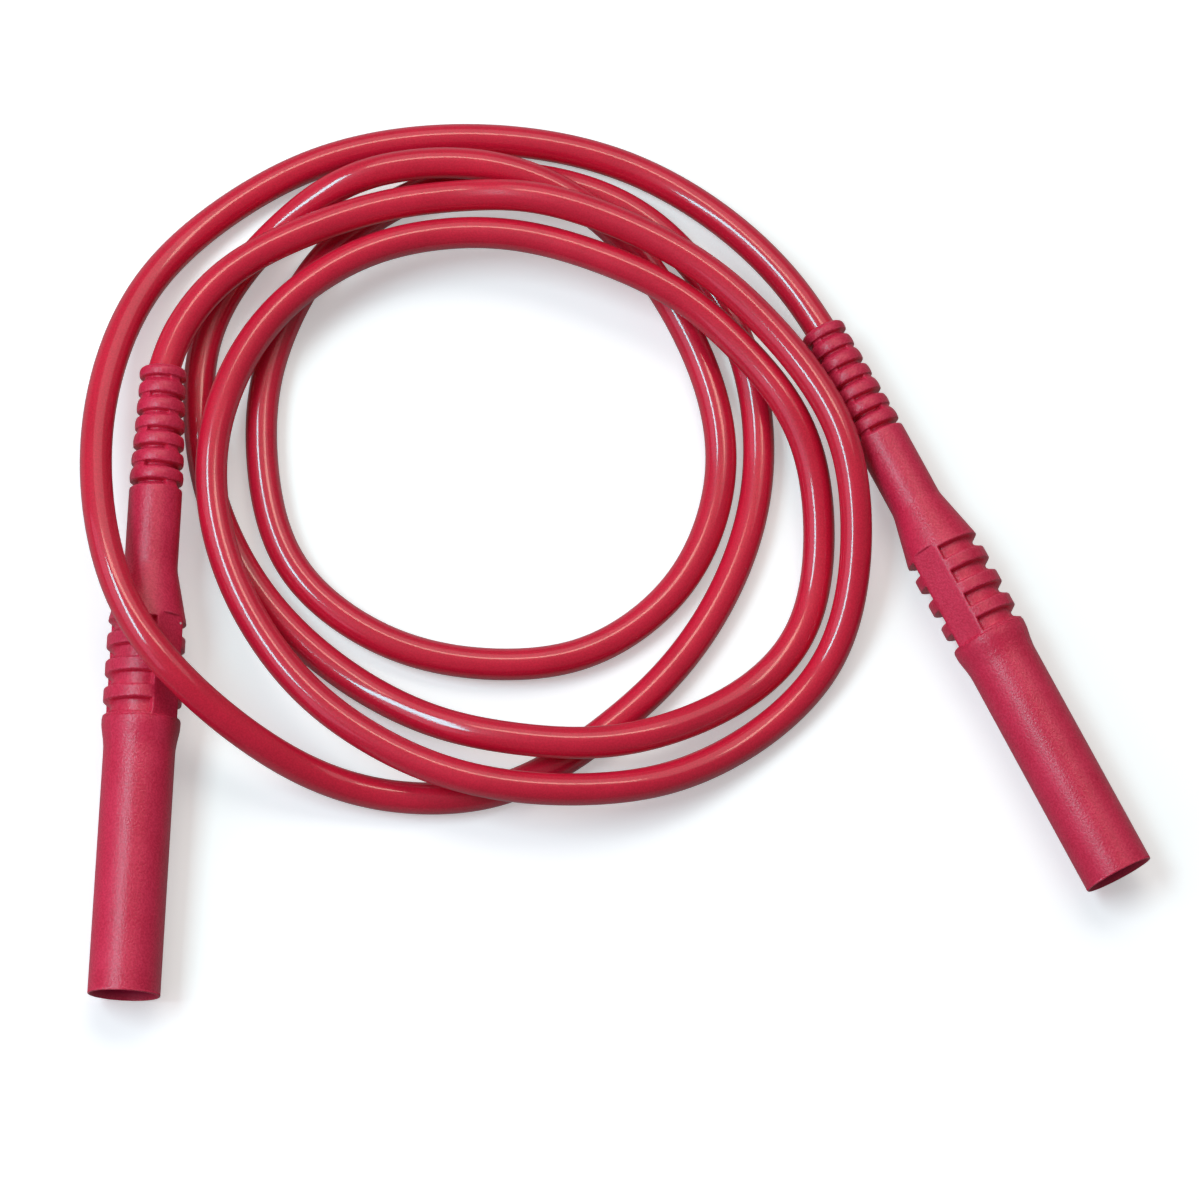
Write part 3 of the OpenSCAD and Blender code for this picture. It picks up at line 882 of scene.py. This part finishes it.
def moulded_finish():
    """Matte plastic with an eroded grain. Sharp edges are smoother and are painted paler for wear and a
    painted glint, and the bore is painted darker as painted shade.
    """
    finish = Finish("moulded")
    place = finish.place()
    grain = finish.noise(place, eroded_grain)
    fine = finish.noise(place, fine_grain)
    clouds = finish.noise(place, moulded_cloud, detail=3.0)
    deep = finish.attribute("deep")
    specks = finish.dust(place, moulded_dust_apart, core=0.012, edge=0.024)
    tone = clouds.step(*most_noise) * 0.35 + grain.step(0.35, 0.65) * 0.65
    # The edges' paler colour is partly wear and partly a painted glint of the lamps.
    worn = finish.attribute("worn") * grain.step(0.35, 0.6)
    colour = finish.blend(tone, moulded_red, moulded_pale)
    colour = finish.blend(worn * 0.45, colour, rubbed_and_glint_red)
    colour = finish.blend(specks, colour, dust_white)
    # Painted shade: the bore is painted darker and deeper red.
    colour = finish.blend(deep, colour, bore_shade_red)
    rough = clouds * 0.10 + fine * 0.10 - worn * 0.06 + deep * 0.30 + moulded_rough
    normal = finish.relief(grain * 0.7 + fine * 0.3, moulded_relief)
    return finish.surface(Base_Color=colour, Roughness=rough, Normal=normal, Specular_IOR_Level=0.4)


moulded = moulded_finish()
for side in plugs:
    boots[side].data.materials.append(moulded)
    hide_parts(side + "_boot")
    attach(boots[side], BODY)
    shrouds[side].data.materials.append(moulded)
    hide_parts(side + "_shroud")
    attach(shrouds[side], BODY)

# %% [markdown]
# ## Pieces inside the plugs
#
# The contact, its spring cage and the insulator can be seen in the mouth, and the rest is inside. They keep
# their CAD meshes. Turned metal has fine rings around its axis, so the finish reads the distance along the
# plug's axis: the position's dot product with the axis.

# %% Plated metal
turning_ring_w = 0.06 * MM
turning_relief = 0.006 * MM
smudge_size = 1.5 * MM
nickel, nickel_warm = (0.66, 0.64, 0.58, 1), (0.55, 0.50, 0.42, 1)
spring_gold, spring_warm = (0.72, 0.66, 0.50, 1), (0.60, 0.52, 0.36, 1)


def turned_finish(name, colour, smudged, side, rough):
    """Plated metal with fine turning rings around one plug's axis, and smudges of a warmer colour."""
    finish = Finish(name)
    place = finish.place()
    axis = tuple(plugs[side][2])
    along = finish.node("ShaderNodeVectorMath", {"operation": "DOT_PRODUCT"}, place, axis, output="Value")
    line = finish.node("ShaderNodeCombineXYZ", {}, along, 0.0, 0.0)
    rings = finish.noise(line, turning_ring_w)
    smudge = finish.noise(place, smudge_size, detail=3.0)
    shade = finish.blend(smudge.step(0.35, 0.7), colour, smudged)
    return finish.surface(Base_Color=shade, Metallic=1.0, Roughness=smudge * 0.12 + rings * 0.08 + rough,
                          Normal=finish.relief(rings, turning_relief))


# %% Insulator, strands and the jacket inside
plain_grain = 0.25 * MM
plain_relief = 0.02 * MM
copper, copper_dark = (0.72, 0.36, 0.20, 1), (0.45, 0.20, 0.12, 1)
insulator_red, insulator_dark = (0.24, 0.012, 0.03, 1), (0.16, 0.008, 0.02, 1)


def plain_finish(name, colour, deep, rough):
    """Matte plastic or bare strands with a little unevenness."""
    finish = Finish(name)
    grain = finish.noise(finish.place(), plain_grain, detail=3.0)
    shade = finish.blend(grain.step(*most_noise), deep, colour)
    return finish.surface(Base_Color=shade, Roughness=grain * 0.15 + rough,
                          Normal=finish.relief(grain, plain_relief))


# %% Give the inner pieces their finishes
finishes = {
    "insulator": plain_finish("insulator", insulator_red, insulator_dark, 0.45),
    "conductor": plain_finish("strands", copper, copper_dark, 0.30),
    "cable_jacket": plain_finish("inner_jacket", jacket_red, jacket_deep, 0.30),
}
for side in plugs:
    finishes["contact_pin"] = turned_finish(side + "_contact", nickel, nickel_warm, side, 0.20)
    finishes["contact_cage"] = turned_finish(side + "_cage", spring_gold, spring_warm, side, 0.24)
    for piece, material in finishes.items():
        node = frame["nodes"][side + "_" + piece]
        node.data.materials.clear()
        node.data.materials.append(material)

# %% [markdown]
#
# The cable is a limp cord of a metre. It leaves one boot and goes into the other, so both its ends are on
# the object.

# %% [markdown]
# ## Floor and light
#
# The floor is a plain white sheet. To the camera and in reflections it adds a little light of its own, so
# it looks white while it still takes the object's soft shadow. More light on it would whiten it too, but
# would wash out the object's colours. The light that it gives back to the object is held low, which keeps
# the undersides dark.
#
# A window on the left and a weaker one behind light the object and throw the soft shadow forward. Each of
# them is two lamps: one lights and can't be seen in the plastic, and a narrow one is only mirrored and
# draws the fine line along the cable. Set apart like this, the line can be bright and cool while the
# plastic around it stays red. Two wide panels fill in, one behind and one low on the left.

# %% White floor
floor_half = 3.0
floor_to_camera = (0.92, 0.96, 0.945, 1)
floor_to_object = (0.30, 0.30, 0.30, 1)
floor_glow = 0.37
mirrored_glow_share = 0.25
corners = [(-floor_half, -floor_half, 0), (floor_half, -floor_half, 0),
           (floor_half, floor_half, 0), (-floor_half, floor_half, 0)]
floor_mesh = bpy.data.meshes.new("floor")
floor_mesh.from_pydata(corners, [], [(0, 1, 2, 3)])
floor = bpy.data.objects.new("floor", floor_mesh)
bpy.context.scene.collection.objects.link(floor)


def floor_finish():
    """White paper that glows a little to the camera, in mirrored rays and through clear parts."""
    finish = Finish("floor")
    seen, mirrored, through = (finish.node("ShaderNodeLightPath", {}, output="Is %s Ray" % kind)
                               for kind in ("Camera", "Glossy", "Transmission"))
    shown = seen.larger(mirrored * mirrored_glow_share).larger(through)
    glow = finish.node("ShaderNodeEmission", {}, (1, 1, 1, 1), shown * floor_glow)
    paper = finish.node("ShaderNodeBsdfDiffuse", {}, finish.blend(seen, floor_to_object, floor_to_camera))
    both = finish.node("ShaderNodeAddShader", {}, paper, glow)
    finish.node("ShaderNodeOutputMaterial", {}, both)
    return finish.material


floor_mesh.materials.append(floor_finish())


# %% Lamps
def area_light(name, azimuth, elevation, distance, size, radiance, colour, lights=True, mirrored=True):
    """A rectangular lamp that faces the object from that direction; its power is radiance * pi * area.

    Angles are in degrees, the azimuth counterclockwise from x, and lengths are in metres.
    One that only lights has no reflection, and one that is only mirrored gives no other light."""
    data = bpy.data.lights.new(name, "AREA")
    data.shape = "RECTANGLE"
    data.size, data.size_y = size
    data.energy = radiance * np.pi * size[0] * size[1]
    data.color = colour
    turn, rise = np.radians(azimuth), np.radians(elevation)
    way = Vector((np.cos(rise) * np.cos(turn), np.cos(rise) * np.sin(turn), np.sin(rise)))
    lamp = bpy.data.objects.new(name, data)
    lamp.location = way * distance
    lamp.rotation_euler = (-way).to_track_quat("-Z", "Y").to_euler()
    lamp.visible_diffuse = lights
    lamp.visible_glossy = mirrored
    bpy.context.scene.collection.objects.link(lamp)
    print("%s: %.2f W" % (name, data.energy))


area_light("left window", azimuth=172, elevation=58, distance=0.8, size=(0.40, 0.25),
           radiance=8.5, colour=(0.78, 0.98, 1.06), mirrored=False)
area_light("left window's reflection", azimuth=173, elevation=58, distance=0.8, size=(0.48, 0.13),
           radiance=18, colour=(0.25, 1.0, 1.1), lights=False)
area_light("back window", azimuth=88, elevation=60, distance=0.9, size=(0.50, 0.28),
           radiance=2.8, colour=(1.05, 0.96, 0.90), mirrored=False)
area_light("back window's reflection", azimuth=80, elevation=64, distance=0.9, size=(0.70, 0.13),
           radiance=5.5, colour=(1.05, 0.90, 0.70), lights=False)
area_light("back panel", azimuth=70, elevation=50, distance=1.2, size=(1.40, 0.80),
           radiance=0.9, colour=(1.0, 0.96, 0.94))
area_light("left panel", azimuth=190, elevation=32, distance=1.0, size=(1.20, 0.60),
           radiance=0.9, colour=(1.20, 0.74, 1.05))

# %% Surroundings
surroundings_strength = 0.15
world = bpy.data.worlds.new("surroundings")
world.use_nodes = True
background = world.node_tree.nodes["Background"]
background.inputs["Color"].default_value = (1, 1, 1, 1)
background.inputs["Strength"].default_value = surroundings_strength
bpy.context.scene.world = world
bpy.context.scene.view_settings.view_transform = "Standard"
